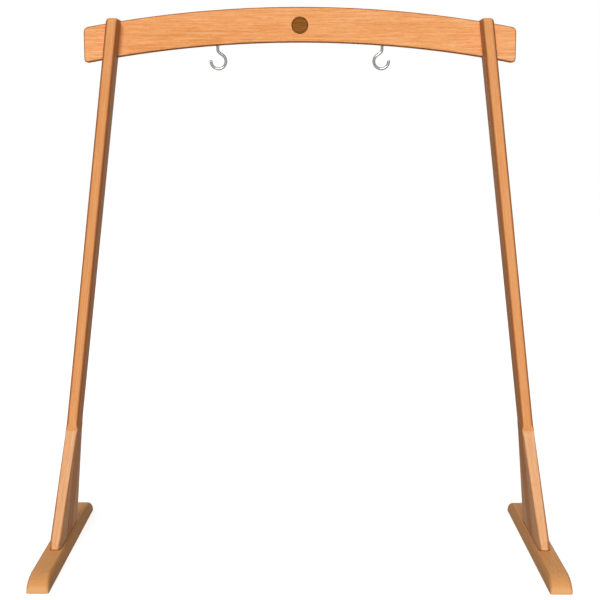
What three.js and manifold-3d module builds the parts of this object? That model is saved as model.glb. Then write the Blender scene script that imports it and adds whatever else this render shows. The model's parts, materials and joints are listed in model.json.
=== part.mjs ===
// Gong stand of solid beech. Two posts lean inwards on runner feet and carry an arched
// crossbeam with two screw hooks under it. Millimetres, +Z up, the front faces -Y,
// and the origin is on the floor under the middle of the stand.

import * as THREE from 'three';
import Module from 'manifold-3d';
import { mergeVertices } from 'three/addons/utils/BufferGeometryUtils.js';

const wasm = await Module();
wasm.setup();

// Feet
const FOOT_LENGTH = 520;
const FOOT_WIDTH = 46;
const FOOT_HEIGHT = 32;
const FOOT_SPREAD = 1066; // from one foot's centre line to the other's
const FOOT_NOSE = 50; // length of the rounded nose at each end
const FOOT_TOE = 3; // height of the upright lip at the tip of each nose
const FOOT_EDGE = 9; // round on the long upper edges
const FOOT_SOLE_EDGE = 1.2; // round on the lower edges
const HOUSING_DEPTH = 6; // how deep a post stands in its foot

// Posts
const POST_THICKNESS = 26;
const POST_DEPTH = 60;
const POST_TOP = 1162;
const POST_LEAN = THREE.MathUtils.degToRad(7.1);
const POST_INSET = 2.8; // how far a post stands inside its foot's centre line
const POST_EDGE = 7.5;
const POST_TOP_EDGE = 8;
const GLUE_EDGE = 0.4; // eased edge where the gussets are glued on
const EDGE_RUNOUT = 14; // length in which a post's round edges start above the gussets

// Gussets, the tapered blocks in front of and behind each post
const GUSSET_TOP = 280;
const GUSSET_BASE = 198; // depth over both gussets at the foot
const GUSSET_SETBACK = 0.5; // how far their sides lie inside the post's sides
const GUSSET_TIP = 1.2;
const GUSSET_EDGE = 7.5;
const HEEL_HEIGHT = 12;
const HEEL_EDGE = 9;
const HEEL_RUNOUT = 7; // length in which the heel's round turns into the gusset's

// Crossbeam
const BEAM_OVERHANG = 66.5; // from a post's middle line, at its top, to the beam's end
const BEAM_HEIGHT = 73; // at the middle
const BEAM_THICKNESS = 25;
const BEAM_BRIDGE = 6; // wood left above the beam in a post's top
const BEAM_TOP_RADIUS = 2450;
const BEAM_BOTTOM_RADIUS = 2420;
const BEAM_EDGE = 4;
const BEAM_CORNER = 9;

// Round inlay in the beam's front
const INLAY_DIAMETER = 35;
const INLAY_THICKNESS = 4;
const INLAY_DROP = 1.5; // how far its middle lies below the beam's
const INLAY_RIM = 2.2;
const INLAY_PROUD = 0.8; // how far the rim stands out of the beam
const INLAY_DISH = 0.6; // how deep the face lies behind the rim

// Screw hooks, bent from round steel wire
const HOOK_SPACING = 348;
const HOOK_WIRE = 6;
const HOOK_BOWL = 15.7; // radius of the bowl along the wire's middle
const HOOK_DROP = 48.5; // from the beam's underside to the lowest point of that line
const HOOK_OFFSET = 1.3; // how far the bowl's middle lies beside the shank
const HOOK_BEND = 8; // radius of the bend under the shank
const HOOK_NECK = THREE.MathUtils.degToRad(125);
const HOOK_TIP = THREE.MathUtils.degToRad(9);
const HOOK_SCREW = 38; // length in the wood
const HOOK_POINT = 6;

// Bolts, washers and inserts under the posts
const FOOT_BOLT_MARGIN = 13.5; // from the post's front or rear face to the bolt's axis
const FOOT_BOLT_DIAMETER = 8;
const FOOT_BOLT_REACH = 20.5; // how far it reaches into the post
const FOOT_BOLT_HEAD = 13;
const FOOT_BOLT_HEAD_HEIGHT = 8;
const FOOT_BOLT_KEY = 6; // across the flats of the hexagon socket
const FOOT_BOLT_KEY_DEPTH = 4;
const COUNTERBORE_DIAMETER = 18;
const COUNTERBORE_DEPTH = 13; // from the foot's underside
const WASHER_DIAMETER = 16;
const WASHER_HOLE = 8.8;
const WASHER_THICKNESS = 1.6;
const FOOT_INSERT_DIAMETER = 12;
const FOOT_INSERT_LENGTH = 22;
const FOOT_INSERT_SINK = 1.2; // how deep it lies in the post's end

// Connector bolts and inserts behind the beam
const BEAM_BOLT_MARGIN = 18; // from the beam's top or underside to the bolt's axis
const BEAM_BOLT_DIAMETER = 6;
const BEAM_BOLT_REACH = 14.4; // how far it reaches into the post
const BEAM_BOLT_HEAD = 17;
const BEAM_BOLT_HEAD_HEIGHT = 2.4;
const BEAM_BOLT_KEY = 4;
const BEAM_BOLT_KEY_DEPTH = 1.8;
const BEAM_INSERT_DIAMETER = 9;
const BEAM_INSERT_LENGTH = 15;
const BEAM_INSERT_SINK = 0.4; // how deep it lies in the notch's floor

// Fits
const CLEARANCE = 0.3; // between pieces that touch
const BOLT_HOLE_CLEARANCE = 0.5;
const BOLT_CHAMFER = 0.8;
const DRILL_SPARE = 2; // how much deeper a blind hole is than what it holds
const OVERRUN = 5; // how far a cut runs past the surface

// Smoothness, in counts
const CORNER_STEPS = 4;
const BEVEL_STEPS = 3;
const NOSE_STEPS = 8;
const BEAM_STEPS = 24;
const ROUND_SIDES = 24;
const INLAY_SIDES = 48;
const WIRE_SIDES = 12;
const WIRE_STEPS = 44;
const HEX_SIDES = 6;

// Sizes and places that follow
const QUARTER = Math.PI / 2;
const LEAN_SLOPE = Math.tan(POST_LEAN);
const POST_HALF = POST_THICKNESS / Math.cos(POST_LEAN) / 2;
const HOUSING_FLOOR = FOOT_HEIGHT - HOUSING_DEPTH;
const POST_BASE = HOUSING_FLOOR + CLEARANCE;
const HEEL_TOP = FOOT_HEIGHT + HEEL_HEIGHT;
const BEAM_REAR = POST_DEPTH / 2;
const BEAM_FRONT = BEAM_REAR - BEAM_THICKNESS;
const BEAM_MIDDLE = (BEAM_REAR + BEAM_FRONT) / 2;
const POST_TOP_X = postX(1, POST_TOP);
const BEAM_HALF = POST_TOP_X + BEAM_OVERHANG;
const BEAM_TOP = POST_TOP - BEAM_BRIDGE + sagitta(BEAM_TOP_RADIUS, POST_TOP_X);
const BEAM_BOTTOM = BEAM_TOP - BEAM_HEIGHT;
const NOTCH_FLOOR = BEAM_FRONT - CLEARANCE;
const BORE_CEILING = COUNTERBORE_DEPTH - POST_BASE;
const WASHER_TOP = BORE_CEILING - CLEARANCE;
const FOOT_BOLT_SEAT = WASHER_TOP - WASHER_THICKNESS - CLEARANCE;
const FOOT_BOLT_LENGTH = FOOT_BOLT_REACH - FOOT_BOLT_SEAT;
const BEAM_BOLT_LENGTH = CLEARANCE + BEAM_THICKNESS + CLEARANCE + BEAM_BOLT_REACH;

const beech = new THREE.MeshStandardMaterial({ color: 0xdf9f6c, roughness: 0.5 });
const paleBeech = new THREE.MeshStandardMaterial({ color: 0xe6b184, roughness: 0.5 });
const darkWood = new THREE.MeshStandardMaterial({ color: 0x6f4324, roughness: 0.45 });
const brightSteel = new THREE.MeshStandardMaterial({ color: 0xc9c9c6, roughness: 0.28, metalness: 1 });
const zincSteel = new THREE.MeshStandardMaterial({ color: 0xb4b6b8, roughness: 0.4, metalness: 1 });
const brass = new THREE.MeshStandardMaterial({ color: 0xb8924e, roughness: 0.4, metalness: 1 });

// Joining and cutting

function toSolid(geometry) {
  const bare = geometry.clone();
  bare.deleteAttribute('normal');
  bare.deleteAttribute('uv');
  const merged = mergeVertices(bare);
  const index = merged.index.array;
  const triangles = [];
  for (let i = 0; i < index.length; i += 3) {
    const [a, b, c] = index.slice(i, i + 3);
    if (a !== b && b !== c && c !== a) {
      triangles.push(a, b, c);
    }
  }
  return new wasm.Manifold(new wasm.Mesh({
    numProp: 3,
    vertProperties: new Float32Array(merged.attributes.position.array),
    triVerts: new Uint32Array(triangles),
  }));
}

function toGeometry(solid) {
  const { vertProperties, triVerts } = solid.getMesh();
  const indexed = new THREE.BufferGeometry();
  indexed.setAttribute('position', new THREE.BufferAttribute(new Float32Array(vertProperties), 3));
  indexed.setIndex(new THREE.BufferAttribute(new Uint32Array(triVerts), 1));
  const geometry = indexed.toNonIndexed();
  geometry.computeVertexNormals();
  return geometry;
}

function cut(body, cutters) {
  const solid = cutters.reduce((rest, cutter) => rest.subtract(toSolid(cutter)), toSolid(body));
  return toGeometry(solid);
}

function join(bodies) {
  const [first, ...others] = bodies.map(toSolid);
  return toGeometry(others.reduce((whole, body) => whole.add(body), first));
}

// Shapes

// Points of an arc or ellipse, without its last one
function arc(x, y, radiusX, radiusY, from, to, steps) {
  return Array.from({ length: steps }, (_, i) => {
    const angle = from + ((to - from) * i) / steps;
    return new THREE.Vector2(x + radiusX * Math.cos(angle), y + radiusY * Math.sin(angle));
  });
}

// A board of the given outline, thick about its middle plane, with rounded edges
function board(outline, thickness, edge) {
  const geometry = new THREE.ExtrudeGeometry(new THREE.Shape(outline), {
    depth: thickness - 2 * edge,
    bevelEnabled: edge > 0,
    bevelThickness: edge,
    bevelSize: edge,
    bevelOffset: -edge,
    bevelSegments: BEVEL_STEPS,
  });
  return geometry.translate(0, 0, edge - thickness / 2);
}

// A turned body about Z from [radius, z] pairs that start and end on the axis
function turned(profile, sides = ROUND_SIDES) {
  const points = profile.map(([radius, z]) => new THREE.Vector2(radius, z));
  return new THREE.LatheGeometry(points, sides).rotateX(QUARTER);
}

function rod(radius, low, high, sides = ROUND_SIDES) {
  return turned([[0, low], [radius, low], [radius, high], [0, high]], sides);
}

function tube(outer, inner, low, high) {
  return cut(rod(outer, low, high), [rod(inner, low - OVERRUN, high + OVERRUN)]);
}

// A closed body through level rings that all have the same number of points
function loft(rings) {
  const count = rings[0].length;
  const faces = [];
  for (let ring = 0; ring < rings.length - 1; ring += 1) {
    for (let i = 0; i < count; i += 1) {
      const low = ring * count;
      const high = low + count;
      const next = (i + 1) % count;
      faces.push(low + i, low + next, high + next);
      faces.push(low + i, high + next, high + i);
    }
  }
  const last = (rings.length - 1) * count;
  for (let i = 1; i < count - 1; i += 1) {
    faces.push(0, i + 1, i);
    faces.push(last, last + i, last + i + 1);
  }
  const positions = rings.flat().flatMap((point) => point.toArray());
  const geometry = new THREE.BufferGeometry();
  geometry.setAttribute('position', new THREE.Float32BufferAttribute(positions, 3));
  geometry.setIndex(faces);
  return geometry;
}

// A level rectangle about x = middle with one radius at its front and one at its rear corners
function ring(middle, half, front, rear, z, frontRadius, rearRadius) {
  const corners = [
    [-half + frontRadius, front + frontRadius, frontRadius, 2 * QUARTER],
    [half - frontRadius, front + frontRadius, frontRadius, 3 * QUARTER],
    [half - rearRadius, rear - rearRadius, rearRadius, 0],
    [-half + rearRadius, rear - rearRadius, rearRadius, QUARTER],
  ];
  return corners.flatMap(([x, y, radius, start]) => (
    Array.from({ length: CORNER_STEPS + 1 }, (_, i) => {
      const angle = start + (QUARTER * i) / CORNER_STEPS;
      const along = middle + x + radius * Math.cos(angle);
      return new THREE.Vector3(along, y + radius * Math.sin(angle), z);
    })
  ));
}

// A bolt along Z with its head's underside at z = 0 and its shank going up
function bolt(diameter, length, head, headHeight, key, keyDepth) {
  const radius = diameter / 2;
  const body = turned([
    [0, -headHeight],
    [head / 2 - BOLT_CHAMFER, -headHeight],
    [head / 2, BOLT_CHAMFER - headHeight],
    [head / 2, 0],
    [radius, 0],
    [radius, length - BOLT_CHAMFER],
    [radius - BOLT_CHAMFER, length],
    [0, length],
  ]);
  const keyRadius = key / 2 / Math.cos(Math.PI / HEX_SIDES);
  return cut(body, [rod(keyRadius, -headHeight - OVERRUN, keyDepth - headHeight, HEX_SIDES)]);
}

// Places; side is -1 on the left and 1 on the right, end is -1 in front and 1 behind

// The X of a post's middle line at height z
function postX(side, z) {
  return side * (FOOT_SPREAD / 2 - POST_INSET - LEAN_SLOPE * (z - FOOT_HEIGHT));
}

// How far an arc has fallen at the distance x from its crown
function sagitta(radius, x) {
  return radius - Math.sqrt(radius ** 2 - x ** 2);
}

function beamTopAt(x) {
  return BEAM_TOP - sagitta(BEAM_TOP_RADIUS, x);
}

function beamBottomAt(x) {
  return BEAM_BOTTOM - sagitta(BEAM_BOTTOM_RADIUS, x);
}

// The place of a foot bolt's axis at the post's base; it leans with the post
function footBoltPlace(side, end) {
  const y = end * (POST_DEPTH / 2 - FOOT_BOLT_MARGIN);
  const move = new THREE.Matrix4().makeTranslation(postX(side, POST_BASE), y, POST_BASE);
  return move.multiply(new THREE.Matrix4().makeRotationY(-side * POST_LEAN));
}

// The place of a beam bolt's axis at depth y, pointing to the front; level is -1 or 1
function beamBoltPlace(side, level, y) {
  const middleX = postX(side, (BEAM_TOP + BEAM_BOTTOM) / 2);
  const middleZ = (beamTopAt(middleX) + beamBottomAt(middleX)) / 2;
  const z = middleZ + level * (BEAM_HEIGHT / 2 - BEAM_BOLT_MARGIN);
  const move = new THREE.Matrix4().makeTranslation(postX(side, z), y, z);
  return move.multiply(new THREE.Matrix4().makeRotationX(QUARTER));
}

function hookX(side) {
  return (side * HOOK_SPACING) / 2;
}

// Foot: a runner with elliptic noses, a housing for the post and two counterbores

function footBlank() {
  const flat = FOOT_LENGTH / 2 - FOOT_NOSE;
  const stations = [];
  for (const end of [-1, 1]) {
    for (let i = 0; i <= NOSE_STEPS; i += 1) {
      const angle = end < 0 ? (QUARTER * i) / NOSE_STEPS : QUARTER - (QUARTER * i) / NOSE_STEPS;
      const along = end * (flat + FOOT_NOSE * Math.cos(angle));
      stations.push([along, FOOT_TOE + (FOOT_HEIGHT - FOOT_TOE) * Math.sin(angle)]);
    }
  }
  const runner = loft(stations.map(([along, height]) => {
    const upper = Math.min(FOOT_EDGE, height - FOOT_SOLE_EDGE - GLUE_EDGE);
    return ring(0, FOOT_WIDTH / 2, 0, height, along, FOOT_SOLE_EDGE, upper);
  }));
  return runner.rotateX(QUARTER);
}

function footBody(side) {
  const runner = footBlank().translate((side * FOOT_SPREAD) / 2, 0, 0);
  const cutters = [postBlank(side, HOUSING_FLOOR, CLEARANCE)];
  for (const end of [-1, 1]) {
    const place = footBoltPlace(side, end);
    const hole = FOOT_BOLT_DIAMETER / 2 + BOLT_HOLE_CLEARANCE;
    const counterbore = rod(COUNTERBORE_DIAMETER / 2, -POST_BASE - OVERRUN, BORE_CEILING);
    cutters.push(gussetBody(side, end, HOUSING_FLOOR, CLEARANCE));
    cutters.push(counterbore.applyMatrix4(place));
    cutters.push(rod(hole, BORE_CEILING - OVERRUN, OVERRUN).applyMatrix4(place));
  }
  return cut(runner, cutters);
}

// Post: a leaning board, notched behind for the beam and drilled for the inserts

function postBlank(side, base, grow = 0) {
  const half = POST_HALF + grow;
  const deep = POST_DEPTH / 2 + grow;
  const stations = [
    [base, 0, GLUE_EDGE],
    [GUSSET_TOP, 0, GLUE_EDGE],
    [GUSSET_TOP + EDGE_RUNOUT, 0, POST_EDGE],
  ];
  for (let i = 0; i <= CORNER_STEPS; i += 1) {
    const angle = (QUARTER * i) / CORNER_STEPS;
    const inset = POST_TOP_EDGE * (1 - Math.cos(angle));
    const drop = POST_TOP_EDGE * (1 - Math.sin(angle));
    stations.push([POST_TOP - drop, inset, Math.max(POST_EDGE - inset, GLUE_EDGE)]);
  }
  return loft(stations.map(([z, inset, radius]) => (
    ring(postX(side, z), half - inset, inset - deep, deep - inset, z, radius, radius)
  )));
}

function postBody(side) {
  const cutters = [beamNotch()];
  for (const end of [-1, 1]) {
    const footHole = FOOT_INSERT_DIAMETER / 2 + CLEARANCE;
    const footDepth = FOOT_INSERT_SINK + FOOT_INSERT_LENGTH + DRILL_SPARE;
    const beamHole = BEAM_INSERT_DIAMETER / 2 + CLEARANCE;
    const beamDepth = BEAM_INSERT_SINK + BEAM_INSERT_LENGTH + DRILL_SPARE;
    cutters.push(rod(footHole, -OVERRUN, footDepth).applyMatrix4(footBoltPlace(side, end)));
    const place = beamBoltPlace(side, end, NOTCH_FLOOR);
    cutters.push(rod(beamHole, -OVERRUN, beamDepth).applyMatrix4(place));
  }
  return cut(postBlank(side, POST_BASE), cutters);
}

// Gusset: a tapered block on the post's front or rear, down to a rounded upright heel

function gussetBody(side, end, base = POST_BASE, grow = 0) {
  const half = POST_HALF - GUSSET_SETBACK + grow;
  const seat = POST_DEPTH / 2 + CLEARANCE - grow;
  const reach = GUSSET_BASE / 2 + grow;
  const tip = seat + GUSSET_TIP;
  const stations = [
    [base, HEEL_EDGE],
    [HEEL_TOP, HEEL_EDGE],
    [HEEL_TOP + HEEL_RUNOUT, GUSSET_EDGE],
    [GUSSET_TOP - EDGE_RUNOUT, GUSSET_EDGE],
    [GUSSET_TOP, GUSSET_EDGE],
  ];
  return loft(stations.map(([z, edge]) => {
    const rise = Math.max(z - HEEL_TOP, 0) / (GUSSET_TOP - HEEL_TOP);
    const outside = THREE.MathUtils.lerp(reach, tip, rise);
    const radius = Math.min(edge, (outside - seat) / 2);
    return end < 0
      ? ring(postX(side, z), half, -outside, -seat, z, radius, GLUE_EDGE)
      : ring(postX(side, z), half, seat, outside, z, GLUE_EDGE, radius);
  }));
}

// Beam: a board between two arcs, bored for its bolts and hooks and recessed for the inlay

function beamOutline(grow = 0) {
  const topRadius = BEAM_TOP_RADIUS + grow;
  const bottomRadius = BEAM_BOTTOM_RADIUS - grow;
  const topCentre = BEAM_TOP - BEAM_TOP_RADIUS;
  const bottomCentre = BEAM_BOTTOM - BEAM_BOTTOM_RADIUS;
  const inner = BEAM_HALF - BEAM_CORNER;
  const high = Math.asin(inner / (topRadius - BEAM_CORNER));
  const low = Math.asin(inner / (bottomRadius + BEAM_CORNER));
  const highZ = topCentre + (topRadius - BEAM_CORNER) * Math.cos(high);
  const lowZ = bottomCentre + (bottomRadius + BEAM_CORNER) * Math.cos(low);
  const corner = (x, z, from, to) => arc(x, z, BEAM_CORNER, BEAM_CORNER, from, to, CORNER_STEPS);
  const top = arc(0, topCentre, topRadius, topRadius, QUARTER - high, QUARTER + high, BEAM_STEPS);
  const under = arc(
    0, bottomCentre, bottomRadius, bottomRadius, QUARTER + low, QUARTER - low, BEAM_STEPS,
  );
  return [
    ...corner(inner, highZ, 0, QUARTER - high),
    ...top,
    ...corner(-inner, highZ, QUARTER + high, 2 * QUARTER),
    new THREE.Vector2(-inner - BEAM_CORNER, highZ),
    ...corner(-inner, lowZ, 2 * QUARTER, 3 * QUARTER + low),
    ...under,
    ...corner(inner, lowZ, 3 * QUARTER - low, 4 * QUARTER),
    new THREE.Vector2(inner + BEAM_CORNER, lowZ),
  ];
}

function beamNotch() {
  const rear = BEAM_REAR + OVERRUN;
  const notch = board(beamOutline(CLEARANCE), rear - NOTCH_FLOOR, 0);
  return notch.rotateX(QUARTER).translate(0, (NOTCH_FLOOR + rear) / 2, 0);
}

function beamBody() {
  const blank = board(beamOutline(), BEAM_THICKNESS, BEAM_EDGE);
  blank.rotateX(QUARTER).translate(0, BEAM_MIDDLE, 0);
  const recess = rod(INLAY_DIAMETER / 2 + CLEARANCE, -INLAY_THICKNESS - CLEARANCE, OVERRUN, INLAY_SIDES);
  const cutters = [recess.applyMatrix4(inlayPlace())];
  for (const side of [-1, 1]) {
    const underside = beamBottomAt(hookX(side));
    const deep = HOOK_SCREW + HOOK_POINT + DRILL_SPARE;
    const pilot = rod(HOOK_WIRE / 2 + CLEARANCE, underside - OVERRUN, underside + deep);
    cutters.push(pilot.translate(hookX(side), BEAM_MIDDLE, 0));
    for (const level of [-1, 1]) {
      const radius = BEAM_BOLT_DIAMETER / 2 + BOLT_HOLE_CLEARANCE;
      const hole = rod(radius, -OVERRUN, BEAM_THICKNESS + OVERRUN);
      cutters.push(hole.applyMatrix4(beamBoltPlace(side, level, BEAM_REAR)));
    }
  }
  return cut(blank, cutters);
}

// Inlay: a turned disc with a raised rim and a shallow dished face

function inlayPlace() {
  const middle = (BEAM_TOP + BEAM_BOTTOM) / 2;
  const move = new THREE.Matrix4().makeTranslation(0, BEAM_FRONT, middle - INLAY_DROP);
  return move.multiply(new THREE.Matrix4().makeRotationX(QUARTER));
}

function inlayBody() {
  const radius = INLAY_DIAMETER / 2;
  const face = INLAY_PROUD - INLAY_DISH;
  return turned([
    [0, -INLAY_THICKNESS],
    [radius, -INLAY_THICKNESS],
    [radius, INLAY_PROUD / 2],
    [radius - INLAY_PROUD / 2, INLAY_PROUD],
    [radius - INLAY_RIM + INLAY_DISH, INLAY_PROUD],
    [radius - INLAY_RIM, face],
    [0, face],
  ], INLAY_SIDES);
}

// Hook: bent wire on one line in the XZ plane, mouth towards +X, z = 0 at the beam's underside

function hookLine() {
  const bowl = new THREE.Vector2(-HOOK_OFFSET, HOOK_BOWL - HOOK_DROP);
  const neck = new THREE.Vector2(Math.cos(HOOK_NECK), Math.sin(HOOK_NECK));
  neck.multiplyScalar(HOOK_BOWL).add(bowl);
  const turn = Math.PI - HOOK_NECK;
  const elbow = neck.y - neck.x / Math.tan(turn);
  const bendZ = elbow + HOOK_BEND * Math.tan(turn / 2);
  const bend = new THREE.EllipseCurve(-HOOK_BEND, bendZ, HOOK_BEND, HOOK_BEND, 0, -turn, true);
  const round = 2 * Math.PI + HOOK_TIP;
  const path = new THREE.CurvePath();
  path.add(new THREE.LineCurve(new THREE.Vector2(0, HOOK_SCREW), new THREE.Vector2(0, bendZ)));
  path.add(bend);
  path.add(new THREE.LineCurve(bend.getPoint(1), neck));
  path.add(new THREE.EllipseCurve(bowl.x, bowl.y, HOOK_BOWL, HOOK_BOWL, HOOK_NECK, round));
  const line = new THREE.Curve();
  line.getPoint = (share, target = new THREE.Vector3()) => {
    const point = path.getPoint(share);
    return target.set(point.x, 0, point.y);
  };
  return line;
}

function hookBody() {
  const radius = HOOK_WIRE / 2;
  const line = hookLine();
  const section = arc(0, 0, radius, radius, 0, 2 * Math.PI, WIRE_SIDES);
  const wire = new THREE.ExtrudeGeometry(new THREE.Shape(section), {
    steps: WIRE_STEPS,
    extrudePath: line,
  });
  const tip = line.getPoint(1);
  const dome = new THREE.SphereGeometry(radius, WIRE_SIDES, WIRE_SIDES / 2);
  dome.translate(tip.x, tip.y, tip.z);
  const point = turned([[0, -radius], [radius, 0], [0, HOOK_POINT]], WIRE_SIDES);
  return join([wire, dome, point.translate(0, 0, HOOK_SCREW)]);
}

// The stand put together

function piece(name, geometry, material, place = new THREE.Matrix4()) {
  const mesh = new THREE.Mesh(geometry, material);
  mesh.name = name;
  mesh.applyMatrix4(place);
  return mesh;
}

function footJoint(side, sideName, end, endName) {
  const group = new THREE.Group();
  group.applyMatrix4(footBoltPlace(side, end));
  const screw = bolt(
    FOOT_BOLT_DIAMETER, FOOT_BOLT_LENGTH, FOOT_BOLT_HEAD, FOOT_BOLT_HEAD_HEIGHT,
    FOOT_BOLT_KEY, FOOT_BOLT_KEY_DEPTH,
  );
  const washer = tube(WASHER_DIAMETER / 2, WASHER_HOLE / 2, WASHER_TOP - WASHER_THICKNESS, WASHER_TOP);
  const bore = FOOT_BOLT_DIAMETER / 2 + CLEARANCE;
  const insertTop = FOOT_INSERT_SINK + FOOT_INSERT_LENGTH;
  const insert = tube(FOOT_INSERT_DIAMETER / 2, bore, FOOT_INSERT_SINK, insertTop);
  const name = `${sideName}_${endName}_foot`;
  group.add(piece(`${name}_bolt`, screw.translate(0, 0, FOOT_BOLT_SEAT), zincSteel));
  group.add(piece(`${name}_washer`, washer, zincSteel));
  group.add(piece(`${name}_insert`, insert, brass));
  return group;
}

function beamJoint(side, sideName, level, levelName) {
  const group = new THREE.Group();
  const screw = bolt(
    BEAM_BOLT_DIAMETER, BEAM_BOLT_LENGTH, BEAM_BOLT_HEAD, BEAM_BOLT_HEAD_HEIGHT,
    BEAM_BOLT_KEY, BEAM_BOLT_KEY_DEPTH,
  );
  const bore = BEAM_BOLT_DIAMETER / 2 + CLEARANCE;
  const insertEnd = BEAM_INSERT_SINK + BEAM_INSERT_LENGTH;
  const insert = tube(BEAM_INSERT_DIAMETER / 2, bore, BEAM_INSERT_SINK, insertEnd);
  const name = `${sideName}_${levelName}_beam`;
  const boltPlace = beamBoltPlace(side, level, BEAM_REAR + CLEARANCE);
  group.add(piece(`${name}_bolt`, screw, zincSteel, boltPlace));
  group.add(piece(`${name}_insert`, insert, brass, beamBoltPlace(side, level, NOTCH_FLOOR)));
  return group;
}

function sideFrame(side, sideName) {
  const group = new THREE.Group();
  group.add(piece(`${sideName}_foot`, footBody(side), beech));
  group.add(piece(`${sideName}_post`, postBody(side), beech));
  for (const [end, endName] of [[-1, 'front'], [1, 'rear']]) {
    group.add(piece(`${sideName}_${endName}_gusset`, gussetBody(side, end), paleBeech));
    group.add(footJoint(side, sideName, end, endName));
  }
  return group;
}

// A hook hangs in its own group, turned so that its mouth faces away from the middle
function hookGroup(side, sideName) {
  const group = new THREE.Group();
  group.position.set(hookX(side), BEAM_MIDDLE, beamBottomAt(hookX(side)));
  group.rotation.z = side < 0 ? Math.PI : 0;
  group.add(piece(`${sideName}_hook`, hookBody(), brightSteel));
  return group;
}

const beam = new THREE.Group();
beam.add(piece('crossbeam', beamBody(), beech));
beam.add(piece('beam_inlay', inlayBody(), darkWood, inlayPlace()));

const stand = new THREE.Group();
stand.add(beam);
for (const [side, sideName] of [[-1, 'left'], [1, 'right']]) {
  stand.add(sideFrame(side, sideName));
  stand.add(hookGroup(side, sideName));
  for (const [level, levelName] of [[-1, 'lower'], [1, 'upper']]) {
    beam.add(beamJoint(side, sideName, level, levelName));
  }
}

export default stand;
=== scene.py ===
import json
import math

import bpy
from mathutils import Matrix, Vector


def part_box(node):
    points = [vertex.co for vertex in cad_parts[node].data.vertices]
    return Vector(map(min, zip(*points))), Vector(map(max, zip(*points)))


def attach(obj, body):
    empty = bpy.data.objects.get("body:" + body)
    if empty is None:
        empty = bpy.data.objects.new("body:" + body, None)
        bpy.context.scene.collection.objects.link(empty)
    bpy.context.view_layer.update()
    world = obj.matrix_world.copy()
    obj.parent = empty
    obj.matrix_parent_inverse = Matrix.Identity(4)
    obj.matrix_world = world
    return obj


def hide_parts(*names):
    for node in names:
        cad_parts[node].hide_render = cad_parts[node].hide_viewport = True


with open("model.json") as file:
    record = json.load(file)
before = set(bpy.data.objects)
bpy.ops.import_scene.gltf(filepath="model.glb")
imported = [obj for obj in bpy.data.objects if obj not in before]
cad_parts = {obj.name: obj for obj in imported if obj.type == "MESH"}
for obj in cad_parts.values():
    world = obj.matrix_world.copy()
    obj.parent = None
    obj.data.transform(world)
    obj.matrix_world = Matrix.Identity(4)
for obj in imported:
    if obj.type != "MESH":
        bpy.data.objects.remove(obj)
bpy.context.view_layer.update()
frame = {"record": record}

# Crossbeam
# One board of straight-grained beech, sawn to a shallow arch, with its corners and edges
# rounded over. It is bored for its bolts and hooks and sunk in front for the inlay.

BEAM_HEIGHT = 0.073
BEAM_TOP_RADIUS = 2.450
BEAM_BOTTOM_RADIUS = 2.420
BEAM_CORNER = 0.009
BEAM_EDGE = 0.004
BEAM_STEPS = 71
BEAM_END_SHARE = 0.9999
CORNER_STEPS = 8
EDGE_STEPS = 6
SOFT_ANGLE = math.radians(35)
beam_low, beam_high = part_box("crossbeam")
BEAM_HALF = beam_high.x
BEAM_TOP = beam_high.z
BEAM_MIDDLE = (beam_low.y + beam_high.y) / 2
BEAM_THICKNESS = beam_high.y - beam_low.y


def add(tree, kind, inputs=None, **settings):
    """Adds a node, with its settings, and its inputs as values, other nodes or their outputs."""
    made = tree.nodes.new(kind)
    for name, value in settings.items():
        setattr(made, name, value)
    for key, value in (inputs or {}).items():
        if isinstance(value, bpy.types.Node):
            value = value.outputs[0]
        if isinstance(value, bpy.types.NodeSocket):
            tree.links.new(value, made.inputs[key])
        else:
            made.inputs[key].default_value = value
    return made


def reckon(tree, operation, *terms):
    """The result of a sum on numbers or on other nodes' outputs."""
    return add(tree, "ShaderNodeMath", dict(enumerate(terms)), operation=operation).outputs[0]


def plus(tree, one, other):
    """One value and another."""
    return reckon(tree, "ADD", one, other)


def minus(tree, one, other):
    """One value less another."""
    return reckon(tree, "SUBTRACT", one, other)


def times(tree, one, other):
    """One value by another."""
    return reckon(tree, "MULTIPLY", one, other)


def over(tree, one, other):
    """One value divided by another."""
    return reckon(tree, "DIVIDE", one, other)


def reckon_vector(tree, operation, *terms):
    """A sum on vectors, with its outputs Vector and Value."""
    return add(tree, "ShaderNodeVectorMath", dict(enumerate(terms)), operation=operation).outputs


def vector(tree, x=0.0, y=0.0, z=0.0):
    """A vector put together from its three parts."""
    return add(tree, "ShaderNodeCombineXYZ", {0: x, 1: y, 2: z}).outputs[0]


def parts(tree, whole):
    """A vector's parts, as outputs X, Y and Z."""
    return add(tree, "ShaderNodeSeparateXYZ", {0: whole}).outputs


def point_parts(tree):
    """The parts of each point's own place in a mesh or a curve."""
    return parts(tree, add(tree, "GeometryNodeInputPosition"))


def between(tree, value, low, high, to_low=0.0, to_high=1.0, kind="SMOOTHSTEP"):
    """A value's place between two others, on another scale, easing in and out."""
    made = add(tree, "ShaderNodeMapRange", {
        "Value": value, "From Min": low, "From Max": high, "To Min": to_low, "To Max": to_high,
    }, interpolation_type=kind)
    return made.outputs[0]


def evenly(tree, value, low, high, to_low, to_high):
    """A value's place between two others, on another scale, in a straight line."""
    return between(tree, value, low, high, to_low, to_high, kind="LINEAR")


def new_tree(name, sockets):
    """An empty tree of geometry nodes with named inputs, and its input and output nodes."""
    tree = bpy.data.node_groups.new(name, "GeometryNodeTree")
    for label, kind in sockets:
        tree.interface.new_socket(label, in_out="INPUT", socket_type="NodeSocket" + kind)
    tree.interface.new_socket("Geometry", in_out="OUTPUT", socket_type="NodeSocketGeometry")
    return tree, tree.nodes.new("NodeGroupInput").outputs, tree.nodes.new("NodeGroupOutput")


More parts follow.
